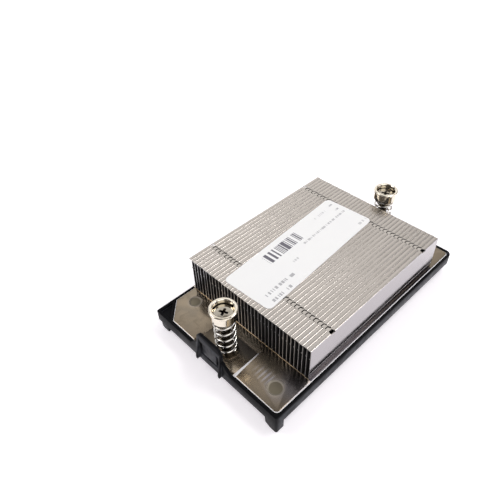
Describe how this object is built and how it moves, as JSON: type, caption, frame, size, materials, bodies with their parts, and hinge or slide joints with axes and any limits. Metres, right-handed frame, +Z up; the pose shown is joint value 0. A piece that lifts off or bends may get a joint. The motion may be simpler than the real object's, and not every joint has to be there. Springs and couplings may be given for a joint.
{
  "type": "passive server cpu heatsink",
  "caption": "Low fin-stack processor heatsink on a nickel-plated plate, in a black moulded frame, with a spring-loaded captive screw at each end.",
  "frame": {"origin": "centre of the flat face that touches the processor", "axes": "+X across the fins, +Y along the fins away from the latch tab, +Z up from the processor"},
  "size_m": [0.075, 0.1284, 0.035],
  "materials": {
    "plate_nickel": "semi-bright nickel plating",
    "fin_metal": "satin plated sheet",
    "frame_plastic": "moulded, soft sheen",
    "screw_nickel": "bright nickel",
    "spring_steel": "bright wire",
    "label_film": "white label film"
  },
  "bodies": {
    "heatsink": {"base_plate": "plate_nickel", "contact_block": "plate_nickel", "retention_frame": "frame_plastic", "fin_01": "fin_metal", "fin_02": "fin_metal", "fin_03": "fin_metal", "fin_04": "fin_metal", "fin_05": "fin_metal", "fin_06": "fin_metal", "fin_07": "fin_metal", "fin_08": "fin_metal", "fin_09": "fin_metal", "fin_10": "fin_metal", "fin_11": "fin_metal", "fin_12": "fin_metal", "fin_13": "fin_metal", "fin_14": "fin_metal", "fin_15": "fin_metal", "fin_16": "fin_metal", "fin_17": "fin_metal", "fin_18": "fin_metal", "fin_19": "fin_metal", "fin_20": "fin_metal", "fin_21": "fin_metal", "fin_22": "fin_metal", "fin_23": "fin_metal", "fin_24": "fin_metal", "fin_25": "fin_metal", "fin_26": "fin_metal", "fin_27": "fin_metal", "fin_28": "fin_metal", "fin_29": "fin_metal", "fin_30": "fin_metal", "fin_31": "fin_metal", "fin_32": "fin_metal", "fin_33": "fin_metal", "fin_34": "fin_metal", "fin_35": "fin_metal", "fin_36": "fin_metal", "paper_label": "label_film", "spring_front": "spring_steel", "spring_rear": "spring_steel"},
    "front_cup": {"spring_cup_front": "screw_nickel"},
    "front_screw": {"captive_screw_front": "screw_nickel", "retaining_ring_front": "spring_steel"},
    "rear_cup": {"spring_cup_rear": "screw_nickel"},
    "rear_screw": {"captive_screw_rear": "screw_nickel", "retaining_ring_rear": "spring_steel"}
  },
  "joints": [
    {"name": "front_screw_travel", "type": "slide", "parent": "heatsink", "child": "front_cup", "axis": [0, 0, 1], "range_m": [-0.006, 0], "stiffness_N_per_m": 1500, "springref_m": 0.0015, "deforming": ["spring_front"]},
    {"name": "front_screw_turn", "type": "hinge", "parent": "front_cup", "child": "front_screw", "pos_m": [0, -0.0543, 0], "axis": [0, 0, 1], "continuous": true},
    {"name": "rear_screw_travel", "type": "slide", "parent": "heatsink", "child": "rear_cup", "axis": [0, 0, 1], "range_m": [-0.006, 0], "stiffness_N_per_m": 1500, "springref_m": 0.0015, "deforming": ["spring_rear"]},
    {"name": "rear_screw_turn", "type": "hinge", "parent": "rear_cup", "child": "rear_screw", "pos_m": [0, 0.0543, 0], "axis": [0, 0, 1], "continuous": true}
  ]
}
